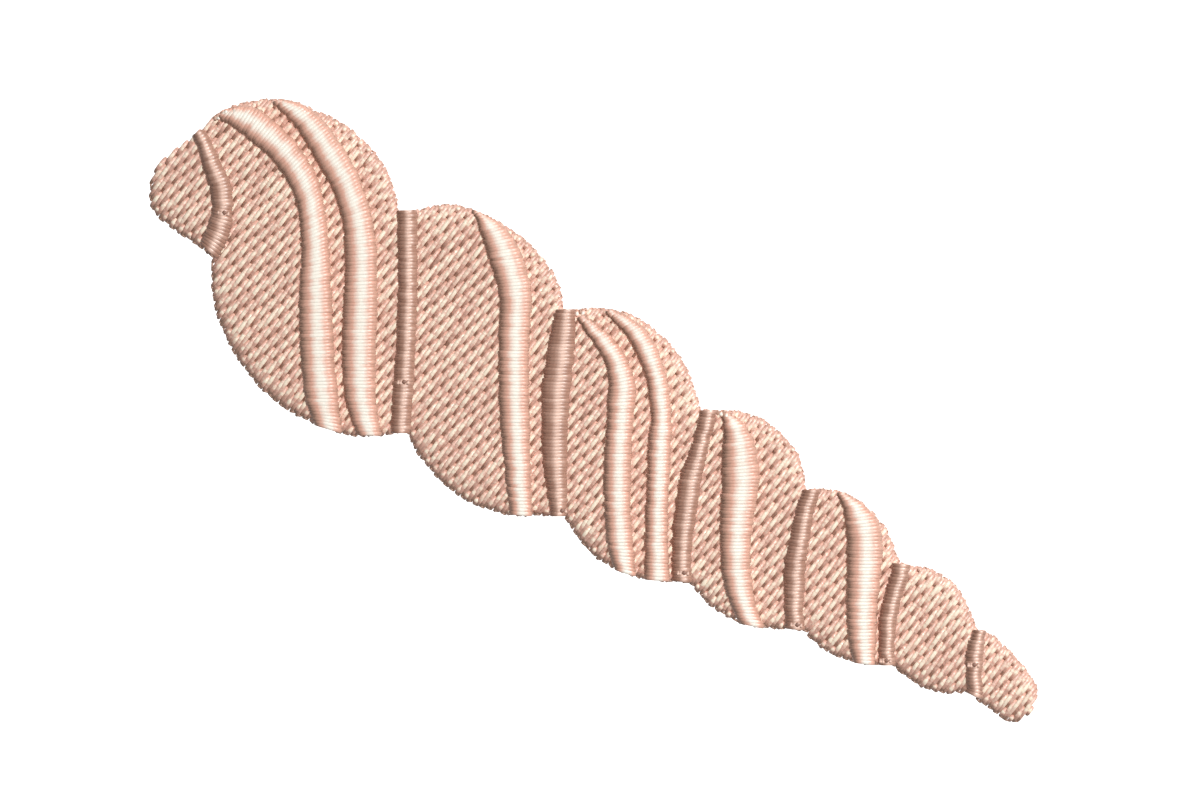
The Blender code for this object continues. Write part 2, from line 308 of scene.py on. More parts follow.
def build_thread_tree():
    """Arches each straight line into a stitch, and gives it a thread's thickness."""
    tree = bpy.data.node_groups.new("arched_stitches", "GeometryNodeTree")
    for label, kind, value in THREAD_INPUTS:
        socket = tree.interface.new_socket(
            label, in_out="INPUT", socket_type=f"NodeSocket{kind}"
        )
        if value is not None:
            socket.default_value = value
    tree.interface.new_socket("Stitches", in_out="OUTPUT", socket_type="NodeSocketGeometry")
    given = tree.nodes.new("NodeGroupInput").outputs
    result = tree.nodes.new("NodeGroupOutput")

    def attribute(label, kind):
        node = add_node(
            tree, "GeometryNodeInputNamedAttribute", {"data_type": kind}, Name=label
        )
        return node.outputs["Attribute"]

    def store(geometry, label, value, kind="FLOAT", domain="POINT"):
        return add_node(
            tree, "GeometryNodeStoreNamedAttribute", {"data_type": kind, "domain": domain},
            Geometry=geometry, Name=label, Value=value,
        ).outputs["Geometry"]

    lines = add_node(tree, "GeometryNodeMeshToCurve", Mesh=given["Lines"]).outputs["Curve"]
    points = calculate(tree, "ADD", given["Segments"], 1.0)
    lines = add_node(
        tree, "GeometryNodeResampleCurve", {"mode": "COUNT"}, Curve=lines, Count=points
    ).outputs["Curve"]
    spline = add_node(tree, "GeometryNodeSplineParameter").outputs
    lines = store(lines, "share", spline["Factor"])
    share = attribute("share", "FLOAT")
    turn = calculate(tree, "MULTIPLY", share, math.pi)
    round_share = calculate(
        tree, "MULTIPLY_ADD", calculate(tree, "COSINE", turn), -0.5, 0.5
    )
    ahead = calculate(
        tree, "MULTIPLY", calculate(tree, "SUBTRACT", round_share, share), given["Roundness"]
    )
    lean_turn = calculate(
        tree, "MULTIPLY", calculate(tree, "POWER", share, given["Lean"]), math.pi
    )
    from_crest = calculate(tree, "ABSOLUTE", calculate(tree, "COSINE", lean_turn))
    below = calculate(tree, "POWER", from_crest, given["Squareness"])
    up = calculate(
        tree, "POWER",
        calculate(tree, "MAXIMUM", calculate(tree, "SUBTRACT", 1.0, below), 0.0),
        calculate(tree, "DIVIDE", given["Arch Power"], given["Squareness"]),
    )
    rise = calculate(tree, "MULTIPLY", up, attribute("rise", "FLOAT"))
    slide = add_node(
        tree, "ShaderNodeVectorMath", {"operation": "SCALE"},
        in_0=attribute("span", "FLOAT_VECTOR"), Scale=ahead,
    ).outputs[0]
    noise = add_node(
        tree, "ShaderNodeTexNoise", {"noise_dimensions": "4D"},
        W=given["Seed"], Scale=WANDER_SCALE, Detail=1.0,
    ).outputs["Color"]
    centred = add_node(
        tree, "ShaderNodeVectorMath", {"operation": "SUBTRACT"}, in_0=noise, in_1=(0.5, 0.5, 0.5)
    ).outputs[0]
    wander = add_node(
        tree, "ShaderNodeVectorMath", {"operation": "SCALE"},
        in_0=centred, Scale=calculate(tree, "MULTIPLY", given["Wander"], up),
    ).outputs[0]
    lift = add_node(tree, "ShaderNodeCombineXYZ", Z=rise).outputs[0]
    moved = add_node(
        tree, "ShaderNodeVectorMath", {"operation": "ADD"}, in_0=slide, in_1=lift
    ).outputs[0]
    moved = add_node(
        tree, "ShaderNodeVectorMath", {"operation": "ADD"}, in_0=moved, in_1=wander
    ).outputs[0]
    lines = add_node(
        tree, "GeometryNodeSetPosition", Geometry=lines, Offset=moved
    ).outputs["Geometry"]
    lines = store(lines, "along", calculate(tree, "DIVIDE", spline["Length"], MM))
    lines = add_node(
        tree, "GeometryNodeSetCurveNormal", {"mode": "Z_UP"}, Curve=lines
    ).outputs["Curve"]

    arc = add_node(
        tree, "GeometryNodeCurveArc", {"mode": "RADIUS"}, Resolution=given["Profile Points"],
        Radius=0.5, Start_Angle=math.pi, Sweep_Angle=math.pi,
    ).outputs["Curve"]
    arc = add_node(tree, "GeometryNodeSetSplineCyclic", Geometry=arc, Cyclic=True).outputs[0]
    profile = store(arc, "around", calculate(tree, "MULTIPLY", spline["Factor"], 0.5))
    size = add_node(
        tree, "ShaderNodeCombineXYZ", X=given["Thread Width"],
        Y=calculate(tree, "MULTIPLY", given["Thread Height"], 2.0), Z=1.0,
    ).outputs[0]
    to_middle = add_node(
        tree, "ShaderNodeCombineXYZ", Y=calculate(tree, "MULTIPLY", given["Thread Height"], 0.5)
    ).outputs[0]
    profile = add_node(
        tree, "GeometryNodeTransform", Geometry=profile, Translation=to_middle, Scale=size
    ).outputs["Geometry"]
    turned = add_node(tree, "ShaderNodeCombineXYZ", Z=given["Profile Turn"]).outputs[0]
    profile = add_node(
        tree, "GeometryNodeTransform", Geometry=profile, Rotation=turned
    ).outputs["Geometry"]
    from_middle = calculate(
        tree, "ABSOLUTE", calculate(tree, "MULTIPLY_ADD", share, 2.0, -1.0)
    )
    narrowing = calculate(
        tree, "MULTIPLY", calculate(tree, "POWER", from_middle, END_TAPER_POWER),
        calculate(tree, "SUBTRACT", given["End Width"], 1.0),
    )
    stitches = add_node(
        tree, "GeometryNodeCurveToMesh", Curve=lines, Profile_Curve=profile,
        Scale=calculate(tree, "ADD", narrowing, 1.0), Fill_Caps=True,
    ).outputs["Mesh"]
    place = add_node(
        tree, "ShaderNodeCombineXYZ", X=attribute("along", "FLOAT"), Y=attribute("around", "FLOAT")
    ).outputs[0]
    stitches = store(stitches, "thread_uv", place, "FLOAT2", "CORNER")
    for label in ("along", "around", "span", "rise"):
        stitches = add_node(
            tree, "GeometryNodeRemoveAttribute", Geometry=stitches, Name=label
        ).outputs["Geometry"]
    stitches = add_node(
        tree, "GeometryNodeSetShadeSmooth", Geometry=stitches, Shade_Smooth=True
    ).outputs["Geometry"]
    bent = add_node(tree, "GeometryNodeInputMeshEdgeAngle").outputs["Unsigned Angle"]
    corner = add_node(
        tree, "FunctionNodeCompare", {"data_type": "FLOAT", "operation": "GREATER_THAN"},
        in_0=bent, in_1=SHARP_ANGLE,
    ).outputs["Result"]
    stitches = add_node(
        tree, "GeometryNodeSetShadeSmooth", {"domain": "EDGE"}, Geometry=stitches,
        Selection=corner, Shade_Smooth=False,
    ).outputs["Geometry"]
    stitches = add_node(
        tree, "GeometryNodeRealizeInstances", Geometry=stitches
    ).outputs["Geometry"]
    stitches = add_node(
        tree, "GeometryNodeSetMaterial", Geometry=stitches, Material=given["Material"]
    ).outputs["Geometry"]
    tree.links.new(stitches, result.inputs["Stitches"])
    return tree


arched_stitches = build_thread_tree()


def sew(name, lines, material, **settings):
    """A plain mesh of stitches, from straight lines put through the thread tree."""
    piece = bpy.data.objects.new(name, lines)
    bpy.context.scene.collection.objects.link(piece)
    modifier = piece.modifiers.new("Stitches", "NODES")
    modifier.node_group = arched_stitches
    settings["Material"] = material
    for item in arched_stitches.interface.items_tree:
        label = item.name.replace(" ", "_")
        if item.in_out == "INPUT" and label in settings:
            modifier[item.identifier] = settings[label]
    seen = piece.evaluated_get(bpy.context.evaluated_depsgraph_get())
    mesh = bpy.data.meshes.new_from_object(seen)
    piece.modifiers.clear()
    piece.data = mesh
    mesh.name = name
    bpy.data.meshes.remove(lines)
    return piece


FILAMENTS_ALONG = 0.8
FILAMENTS_AROUND = 16.0
SPECKS_ALONG = 3.2
SPECKS_AROUND = 4.0
SPECKS_BY_TONE = 30.0
HOLE_POWER = 5.0
PLY_HEIGHT = 0.6


def build_ply():
    """Twist, filaments and tone along a thread, with a painted highlight on its crest and painted
    shade at its ends, from its thread_uv, tone and share.
    """
    group, start, end = shader_group(
        "thread_ply",
        {
            "Twists per mm": 0.9, "Tone Spread": 0.14, "Filaments": 0.3,
            "Crest": 0.3, "Crest Middle": 0.5, "Crest Reach": 0.25, "Hole Shade": 0.4,
            "Start Shade": 0.0, "Start Middle": 0.0, "Start Reach": 0.3,
            "End Shade": 0.0, "End Reach": 0.25, "Speckle": 0.0,
        },
        ("Light", "Height"),
    )
    given = start.outputs

    def attribute(label):
        return add_node(
            group, "ShaderNodeAttribute", {"attribute_name": label, "attribute_type": "GEOMETRY"}
        ).outputs["Fac"]

    def centred(value, strength):
        off = calculate(group, "SUBTRACT", value, 0.5)
        return calculate(group, "MULTIPLY", off, strength)

    def noise_at(detail, **place):
        spot = add_node(group, "ShaderNodeCombineXYZ", **place).outputs[0]
        return add_node(
            group, "ShaderNodeTexNoise", {"noise_dimensions": "3D"},
            Vector=spot, Scale=1.0, Detail=detail,
        ).outputs["Fac"]

    uv = add_node(group, "ShaderNodeUVMap", {"uv_map": "thread_uv"}).outputs["UV"]
    apart = add_node(group, "ShaderNodeSeparateXYZ", in_0=uv)
    along, around = apart.outputs["X"], apart.outputs["Y"]
    twist = calculate(group, "MULTIPLY_ADD", along, given["Twists per mm"], around)
    ply = calculate(
        group, "ABSOLUTE",
        calculate(group, "SINE", calculate(group, "MULTIPLY", twist, math.tau)),
    )
    filaments = noise_at(
        3.0, X=calculate(group, "MULTIPLY", along, FILAMENTS_ALONG),
        Y=calculate(group, "MULTIPLY", twist, FILAMENTS_AROUND),
    )
    specks = noise_at(
        2.0, X=calculate(group, "MULTIPLY", along, SPECKS_ALONG),
        Y=calculate(group, "MULTIPLY", around, SPECKS_AROUND),
        Z=calculate(group, "MULTIPLY", attribute("tone"), SPECKS_BY_TONE),
    )
    spread = centred(attribute("tone"), given["Tone Spread"])
    streaks = centred(filaments, given["Filaments"])
    speckle = centred(specks, given["Speckle"])
    share = attribute("share")

    def bell(middle, reach):
        off = calculate(group, "DIVIDE", calculate(group, "SUBTRACT", share, middle), reach)
        squared = calculate(group, "MULTIPLY", off, off)
        return calculate(group, "EXPONENT", calculate(group, "MULTIPLY", squared, -1.0))

    # Painted highlight: the thread is lighter around its crest.
    crest = calculate(
        group, "MULTIPLY", given["Crest"], bell(given["Crest Middle"], given["Crest Reach"])
    )
    # Painted shade: the stitch is darker near its start and end, and darkest where it goes down a
    # hole.
    low = calculate(
        group, "ADD",
        calculate(
            group, "MULTIPLY", given["Start Shade"],
            bell(given["Start Middle"], given["Start Reach"]),
        ),
        calculate(group, "MULTIPLY", given["End Shade"], bell(1.0, given["End Reach"])),
    )
    from_middle = calculate(
        group, "ABSOLUTE", calculate(group, "MULTIPLY_ADD", share, 2.0, -1.0)
    )
    hole = calculate(
        group, "MULTIPLY", calculate(group, "POWER", from_middle, HOLE_POWER), given["Hole Shade"]
    )
    light = calculate(group, "ADD", calculate(group, "ADD", spread, 0.5), streaks)
    light = calculate(group, "SUBTRACT", calculate(group, "ADD", light, crest), hole)
    light = calculate(group, "ADD", calculate(group, "SUBTRACT", light, low), speckle)
    height = calculate(
        group, "MULTIPLY_ADD", filaments, given["Filaments"],
        calculate(group, "MULTIPLY", ply, PLY_HEIGHT),
    )
    group.links.new(light, end.inputs["Light"])
    group.links.new(height, end.inputs["Height"])
    return group


thread_ply = build_ply()

ROUGHNESS_SPREAD = 0.08


def thread_material(name, shade, colour, crest, roughness, **values):
    """A thread's look: its painted shade in the holes, its own colour, and a painted highlight on
    its crest.
    """
    material, tree, shader = principled(name)
    ply = add_node(tree, "ShaderNodeGroup", {"node_tree": thread_ply}, **values)
    tint = add_node(tree, "ShaderNodeValToRGB", Fac=ply.outputs["Light"])
    ramp = tint.color_ramp.elements
    ramp.new(0.5)
    # The ramp runs from painted shade through the thread's own colour to a painted highlight.
    for stop, shown in zip(ramp, (shade, colour, crest)):
        stop.color = (*shown, 1.0)
    ramp[2].position = 1.0
    roughened = add_node(
        tree, "ShaderNodeMapRange", Value=ply.outputs["Light"],
        To_Min=roughness + ROUGHNESS_SPREAD, To_Max=roughness - ROUGHNESS_SPREAD,
    )
    bump = add_node(
        tree, "ShaderNodeBump", Strength=0.3, Distance=0.00002, Height=ply.outputs["Height"]
    )
    tree.links.new(tint.outputs["Color"], shader.inputs["Base Color"])
    tree.links.new(roughened.outputs[0], shader.inputs["Roughness"])
    tree.links.new(bump.outputs["Normal"], shader.inputs["Normal"])
    shader.inputs["IOR"].default_value = 1.6
    shader.inputs["Sheen Weight"].default_value = 0.1
    shader.inputs["Sheen Roughness"].default_value = 0.4
    return material


PEACH_SHADE = (0.42, 0.25, 0.18)
PEACH = (0.74, 0.43, 0.34)
PEACH_PAINTED_HIGHLIGHT = (1.0, 0.87, 0.69)
RAYON_ROUGHNESS = 0.40

# Painted highlight on each stitch's crest; painted shade at its start, which faces away from the
# light, and in its holes.
peach_thread = thread_material(
    "peach_thread", PEACH_SHADE, PEACH, PEACH_PAINTED_HIGHLIGHT, RAYON_ROUGHNESS,
    Crest=0.46, Crest_Middle=0.53, Crest_Reach=0.12, Hole_Shade=0.2, Tone_Spread=0.32,
    Start_Shade=0.6, Start_Reach=0.19, Speckle=1.3,
)

FILL_HOLE_Z = 0.84
FILL_EDGE_Z = 0.72
FILL_RISE = 0.70
SHORT_STITCH_RISE = 0.5
RISE_PER_MM = 0.125
ASIDE_SPREAD = 0.035
ROW_TONE_SPREAD = 0.1
TONE_SPREAD = 0.4
FILL_THREAD_WIDTH = 0.47
FILL_THREAD_HEIGHT = 0.11


def lay_fill():
    """The fill's stitches, hole to hole along each row; a row's outer ends lie lower."""
    dice = random.Random(12)
    stitches = []
    for _, level, places in fill_holes():
        row_tone = dice.uniform(-ROW_TONE_SPREAD, ROW_TONE_SPREAD)
        for index, (begin, finish) in enumerate(zip(places, places[1:])):
            across = level + dice.gauss(0.0, ASIDE_SPREAD)
            start_z = FILL_EDGE_Z if index == 0 else FILL_HOLE_Z
            end_z = FILL_EDGE_Z if index == len(places) - 2 else FILL_HOLE_Z
            rise = FILL_RISE * min(1.0, SHORT_STITCH_RISE + RISE_PER_MM * (finish - begin))
            tone = 0.5 + row_tone + dice.uniform(-TONE_SPREAD, TONE_SPREAD)
            stitches.append((
                (*at_row(begin, across), start_z), (*at_row(finish, across), end_z), rise, tone,
            ))
    return stitch_lines("fill_lines", stitches)


fill = sew(
    "fill_stitches", lay_fill(), peach_thread,
    Thread_Width=FILL_THREAD_WIDTH * MM, Thread_Height=FILL_THREAD_HEIGHT * MM,
    Segments=9, Profile_Points=6, Roundness=0.3, Lean=1.15, Arch_Power=0.7, End_Width=0.7,
    Wander=0.00006, Seed=1.0,
)
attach(fill, "root")
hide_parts("tatami_fill")


# Row turns. The same thread leads from the end of each fill row to the start of the next one
# in a very short stitch along the rim, on the left after even rows and on the right after odd.

LONGEST_TURN = 1.1
TURN_Z = 0.72
TURN_RISE = 0.12
TURN_RISE_SPREAD = (-0.04, 0.06)
TURN_OUT = -0.08
TURN_REACH = 0.06
# Painted shade: every turn is given a low tone, and those on the left, which face away from the
# light, a much lower one.
TURN_PAINTED_SHADE = (-3.6, -0.8)
TURN_TONE_SPREAD = 0.6
TURN_WIDTH = 0.23


def lay_turns():
    """The turns, left out where the rim runs too far between two rows."""
    dice = random.Random(13)
    stitches = []
    by_row = {}
    for row, level, places in fill_holes():
        by_row.setdefault(row, []).append((level, places))
    for row, sections in by_row.items():
        side = -(row % 2)
        out = TURN_OUT if side else -TURN_OUT
        for level, places in sections:
            for next_level, next_places in by_row.get(row + 1, []):
                if abs(next_places[side] - places[side]) > LONGEST_TURN:
                    continue
                begin = at_row(places[side] + out, level - TURN_REACH)
                finish = at_row(next_places[side] + out, next_level + TURN_REACH)
                rise = TURN_RISE + dice.uniform(*TURN_RISE_SPREAD)
                tone = TURN_PAINTED_SHADE[side] + dice.uniform(-TURN_TONE_SPREAD, TURN_TONE_SPREAD)
                stitches.append(((*begin, TURN_Z), (*finish, TURN_Z), rise, tone))
    return stitch_lines("turn_lines", stitches)


turns = sew(
    "fill_row_turns", lay_turns(), peach_thread,
    Thread_Width=TURN_WIDTH * MM, Thread_Height=FILL_THREAD_HEIGHT * MM, Segments=6,
    Profile_Points=6, Roundness=1.0, Arch_Power=0.7, End_Width=0.7, Wander=0.0, Seed=2.0,
)
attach(turns, "root")


# Satin ribs. Seven raised columns of the same thread, each a close zigzag over a padded
# underlay: the strokes that cross square to the column lie on top, and the slanting
# strokes back lie a little lower between them.

STROKE_SPACING = 0.384
SATIN_HOLE_Z = 1.3
SHOULDER_Z = 1.95
CROWN_PER_WIDTH = 0.42
COLUMN_TOP_IN = 0.10
MAIN_WIDTH = 0.50
BACK_WIDTH = 0.30
SATIN_THREAD_HEIGHT = 0.09
BACK_STROKE_DROP = 0.08
STROKE_JUT = 0.06
JUT_SPREAD = 0.10
STROKE_RISE_SPREAD = 0.006
NARROWEST = 0.1
NARROW_WIDTH = 2.2
NARROW_SHADE = 2.6
UPRIGHT = 0.02


def column_edges(node):
    """The two long edges of a satin column's underside, paired, in millimetres."""
    shape = cad_shape(node)
    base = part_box(node)[0].z
    under = [face for face in shape.faces if face.normal.z < -NEARLY_LEVEL]
    edges = [
        edge for edge in shape.edges
        if sum(face in under for face in edge.link_faces) == 1
        and all(abs(corner.co.z - base) < MERGED for corner in edge.verts)
    ]
    ring = walk_round(edges)
    size = len(ring)

    def at_an_end(index):
        pair = {ring[index], ring[(index + 1) % size]}
        edge = next(edge for edge in edges if set(edge.verts) == pair)
        return any(abs(face.normal.z) < UPRIGHT for face in edge.link_faces)

    first = next(index for index in range(size) if at_an_end(index))
    ring = [corner.co.copy() for corner in ring[first + 1:] + ring[:first + 1]]
    shape.free()
    sides = np.array([point[:2] for point in ring]) / MM
    one, other = sides[:size // 2], sides[size // 2:][::-1]
    if one[0][1] < one[-1][1]:
        one, other = one[::-1], other[::-1]
    left, right = (one, other) if one.mean(axis=0)[0] < other.mean(axis=0)[0] else (other, one)
    return left, right


def strokes_over(node):
    """Places for strokes along a column: their left and right ends, evenly spaced."""
    left, right = column_edges(node)
    middle = (left + right) / 2
    steps = np.linalg.norm(np.diff(middle, axis=0), axis=1)
    reached = np.concatenate(([0.0], np.cumsum(steps)))
    count = max(2, round(reached[-1] / STROKE_SPACING))
    wanted = np.linspace(0.0, reached[-1], count + 1)
    return [
        np.stack([np.interp(wanted, reached, side[:, axis]) for axis in (0, 1)], axis=1)
        for side in (left, right)
    ]


def stroke_rise(width, crown):
    """How far a stroke rises above its holes, which is less where its column is narrow."""
    return min(crown, CROWN_PER_WIDTH * width) + SHOULDER_Z - COLUMN_TOP_IN - SATIN_HOLE_Z


def arch_level(share, arch):
    """The level of an arch, from 0 at its feet to 1 at its crest, at this share across it."""
    power, squareness = arch
    return max(0.0, 1.0 - abs(2 * share - 1) ** squareness) ** (power / squareness)


def lay_column(node, crown, seed):
    """The strokes that lie on top of a column, and the slanting strokes back."""
    dice = random.Random(seed)
    left, right = strokes_over(node)
    widths = np.linalg.norm(right - left, axis=1)
    main, back = [], []
    for index, (one, other, width) in enumerate(zip(left, right, widths)):
        reach = (other - one) / max(width, NARROWEST)
        begin = one - reach * (STROKE_JUT + dice.uniform(-JUT_SPREAD, JUT_SPREAD))
        finish = other + reach * (STROKE_JUT + dice.uniform(-JUT_SPREAD, JUT_SPREAD))
        tone = 0.5 + dice.uniform(-TONE_SPREAD, TONE_SPREAD)
        # Painted shade: strokes get a lower tone where their column narrows.
        tone -= NARROW_SHADE * max(0.0, 1.0 - width / (NARROW_WIDTH * crown))
        rise = stroke_rise(width, crown)
        main_rise = rise + dice.gauss(0, STROKE_RISE_SPREAD)
        main.append(((*begin, SATIN_HOLE_Z), (*finish, SATIN_HOLE_Z), main_rise, tone))
        if index + 1 < len(left):
            onward = (*left[index + 1], SATIN_HOLE_Z)
            back.append((onward, (*other, SATIN_HOLE_Z), rise - BACK_STROKE_DROP, tone))
    return stitch_lines(f"{node}_main", main), stitch_lines(f"{node}_back", back)


def join(name, pieces):
    """One piece made of several, which it takes the place of."""
    shape = bmesh.new()
    for piece in pieces:
        shape.from_mesh(piece.data)
    mesh = pieces[0].data.copy()
    shape.to_mesh(mesh)
    shape.free()
    whole = bpy.data.objects.new(name, mesh)
    mesh.name = name
    bpy.context.scene.collection.objects.link(whole)
    for piece in pieces:
        used = piece.data
        bpy.data.objects.remove(piece)
        bpy.data.meshes.remove(used)
    return whole


PADDING_DROP = 0.12
PADDING_INSET = 0.03
PADDING_STEPS = 10
PADDING_FOOT_Z = 0.95
# The padding takes a share near a stitch's end, so the thread's material gives it painted shade
# where it shows between the strokes.
PADDING_PAINTED_SHADE = (("share", 0.05), ("tone", 0.5))


def pad_column(node, crown, arch, material):
    """The padded underlay that fills a column under its strokes, closed at both ends."""
    left, right = strokes_over(node)
    shape = bmesh.new()
    rings = []
    for one, other in list(zip(left, right))[1:-1]:
        rise = stroke_rise(np.linalg.norm(other - one), crown) - PADDING_DROP
        ring = []
        for step in range(PADDING_STEPS + 1):
            share = 0.5 - 0.5 * math.cos(math.pi * step / PADDING_STEPS)
            place = one + (other - one) * (PADDING_INSET + (1 - 2 * PADDING_INSET) * share)
            height = SATIN_HOLE_Z + rise * arch_level(share, arch)
            ring.append(shape.verts.new((*(place * MM), height * MM)))
        for corner in (ring[-1], ring[0]):
            ring.append(shape.verts.new((*corner.co[:2], PADDING_FOOT_Z * MM)))
        rings.append(ring)
    for ring, onward in zip(rings, rings[1:]):
        for corner in range(len(ring)):
            beside = (corner + 1) % len(ring)
            shape.faces.new((ring[corner], ring[beside], onward[beside], onward[corner]))
    shape.faces.new(rings[0])
    shape.faces.new(rings[-1])
    bmesh.ops.recalc_face_normals(shape, faces=shape.faces)
    bmesh.ops.triangulate(shape, faces=shape.faces)
    mesh = bpy.data.meshes.new(f"{node}_padding")
    shape.to_mesh(mesh)
    shape.free()
    mesh.materials.append(material)
    for label, value in PADDING_PAINTED_SHADE:
        layer = mesh.attributes.new(label, "FLOAT", "POINT")
        layer.data.foreach_set("value", [value] * len(mesh.vertices))
    padding = bpy.data.objects.new(f"{node}_padding", mesh)
    bpy.context.scene.collection.objects.link(padding)
    return padding


def sew_column(node, crown, arch, material, seed):
    """A whole satin column in place of its solid: both kinds of strokes and the padding."""
    over, under = lay_column(node, crown, seed)
    alike = dict(
        Thread_Height=SATIN_THREAD_HEIGHT * MM, Segments=12, Profile_Points=6, Roundness=1.0,
        Arch_Power=arch[0], Squareness=arch[1], End_Width=0.7, Wander=0.000015,
        Seed=float(seed),
    )
    over = sew(f"{node}_over", over, material, Thread_Width=MAIN_WIDTH * MM, **alike)
    under = sew(f"{node}_under", under, material, Thread_Width=BACK_WIDTH * MM, **alike)
    padding = pad_column(node, crown, arch, material)
    column = join(f"{node}_stitches", [over, under, padding])
    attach(column, "root")
    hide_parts(node)
    return column


RIB_CROWN = 1.0
RIB_ARCH = (0.95, 3.4)

# The ribs are sewn in the fill's peach thread. This copy's brighter colour is painted light, its
# whiter crest a painted highlight, and its start and end shades are painted shade on the left and
# right flanks of each column.
SATIN_PEACH_PAINTED_LIGHT = (0.82, 0.455, 0.345)
SATIN_PAINTED_HIGHLIGHT = (1.0, 0.94, 0.83)

satin_peach = thread_material(
    "satin_peach_thread", PEACH_SHADE, SATIN_PEACH_PAINTED_LIGHT, SATIN_PAINTED_HIGHLIGHT, RAYON_ROUGHNESS,
    Crest=0.54, Crest_Middle=0.54, Crest_Reach=0.133, Hole_Shade=0.2, Tone_Spread=0.2,
    Start_Shade=0.38, Start_Middle=0.17, Start_Reach=0.17, End_Shade=0.25, End_Reach=0.30,
    Speckle=0.3,
)

RIBS = 7
RIB_SEED = 20
for number in range(1, RIBS + 1):
    node, seed = f"satin_rib_{number}", RIB_SEED + number
    rib = sew_column(node, RIB_CROWN, RIB_ARCH, satin_peach, seed)


# Tie-in stitches. Before a rib begins, its thread is locked at the rim by a few tiny stitches
# along the column; a painted highlight makes them almost white, and dark stitches of painted
# shade between them stand for the gaps.

# Start, end, height and tone of each; those of low tone are dark stitches of painted shade that
# stand for the gaps.
TIE_INS = (
    (-42.02, 33.05, -42.00, 32.55, 2.10, 1.6), (-41.18, 33.78, -41.12, 33.12, 2.42, 1.7),
    (-40.28, 33.90, -40.05, 33.25, 2.55, 1.7), (-42.58, 32.98, -42.36, 32.52, 1.60, -4.0),
    (-41.62, 33.48, -41.60, 33.00, 2.32, -4.0), (-40.42, 34.25, -40.36, 34.00, 2.10, -2.0),
    (-1.85, 11.30, -1.83, 10.50, 1.60, 1.6), (-1.12, 11.42, -1.20, 10.40, 1.70, 1.6),
    (-2.17, 11.36, -2.15, 10.90, 1.60, -4.0), (-1.49, 11.36, -1.47, 10.85, 1.60, -4.0),
    (-0.92, 11.50, -0.86, 11.20, 1.56, -2.0),
    (14.28, -0.02, 14.32, -0.70, 2.10, 1.6), (14.88, -0.10, 14.92, -1.05, 2.15, 1.6),
    (13.92, -0.02, 13.94, -0.45, 1.60, -4.0), (14.60, -0.02, 14.60, -0.60, 2.10, -4.0),
)
TIE_IN_RISE = 0.20
GAP_RISE = 0.08
TIE_IN_WIDTH = 0.36
TIE_IN_HEIGHT = 0.08


def lay_tie_ins():
    """The tie-in stitches of ribs 1, 4 and 6; the dark stitches of painted shade between them lie
    lower.
    """
    return stitch_lines("tie_in_lines", [
        ((x, y, z), (end_x, end_y, z), TIE_IN_RISE if tone > 0 else GAP_RISE, tone)
        for x, y, end_x, end_y, z, tone in TIE_INS
    ])


tie_ins = sew(
    "tie_in_stitches", lay_tie_ins(), satin_peach,
    Thread_Width=TIE_IN_WIDTH * MM, Thread_Height=TIE_IN_HEIGHT * MM, Segments=8,
    Profile_Points=6, Roundness=1.0, Arch_Power=0.6, End_Width=0.7, Wander=0.0, Seed=50.0,
)
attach(tie_ins, "root")


# Satin sutures. Seven narrower and lower columns of a darker rose rayon thread, zigzagged over
# padding as the ribs are and sewn after them, where one whorl of the shell meets the next.

SUTURE_CROWN = 0.7
SUTURE_ARCH = (0.78, 2.0)

ROSE_SHADE = (0.30, 0.15, 0.105)
ROSE = (0.43, 0.235, 0.17)
ROSE_PAINTED_HIGHLIGHT = (1.0, 0.69, 0.56)

# Painted highlight on each stroke's crest; painted shade in its holes.
rose_thread = thread_material(
    "rose_thread", ROSE_SHADE, ROSE, ROSE_PAINTED_HIGHLIGHT, RAYON_ROUGHNESS,
    Crest=0.37, Crest_Middle=0.555, Crest_Reach=0.105, Hole_Shade=0.4, Tone_Spread=0.2,
)

SUTURES = 7
SUTURE_SEED = 40
for number in range(1, SUTURES + 1):
    node, seed = f"satin_suture_{number}", SUTURE_SEED + number
    suture = sew_column(node, SUTURE_CROWN, SUTURE_ARCH, rose_thread, seed)


# Tie-off stitches. Each suture's thread ends in a few tiny stitches on top of its column: a
# knot where the needle went down, darkened with painted shade, and three lighter stitches beside
# it. One travel stitch of the same thread, darkened with the same painted shade, crosses the fill
# at the lower edge of the second whorl.

TIE_OFFS = (
    (-41.32, 22.16), (-21.18, 3.21), (-3.52, -11.21), (10.16, -18.17),
    (22.84, -23.99), (32.83, -28.00), (42.68, -28.46),
)
KNOT_REACH = 0.25
KNOT_ABOVE = 0.03
KNOT_RISE = 0.09
PAINTED_SHADE_TONE = -4.2
LIGHTER_STITCHES = ((-0.40, 0.34), (-0.68, 0.28), (0.40, 0.26))
LIGHTER_BELOW = 0.06
LIGHTER_RISE = 0.10
LIGHTER_TONE = 1.2
LIGHTER_DOWN = 0.05
TRAVEL_START = np.array((-6.75, -11.30))
TRAVEL_END = np.array((-4.75, -11.62))
TRAVEL_Z = 1.45
TRAVEL_RISE = 0.15
TIE_OFF_WIDTH = 0.30
TIE_OFF_HEIGHT = 0.07
NEAREST_SIDE = 0.05


def suture_top(number, place):
    """The height of a suture's stitches at a place, and the directions across and along it."""
    left, right = strokes_over(f"satin_suture_{number}")
    nearest = int(np.argmin(np.linalg.norm((left + right) / 2 - place, axis=1)))
    nearest = min(max(nearest, 1), len(left) - 2)
    one, other = left[nearest], right[nearest]
    width = np.linalg.norm(other - one)
    across = (other - one) / width
    share = min(max((place - one) @ across / width, NEAREST_SIDE), 1 - NEAREST_SIDE)
    down = left[nearest + 1] - left[nearest - 1]
    top = SATIN_HOLE_Z + stroke_rise(width, SUTURE_CROWN) * arch_level(share, SUTURE_ARCH)
    return top, across, down / np.linalg.norm(down)


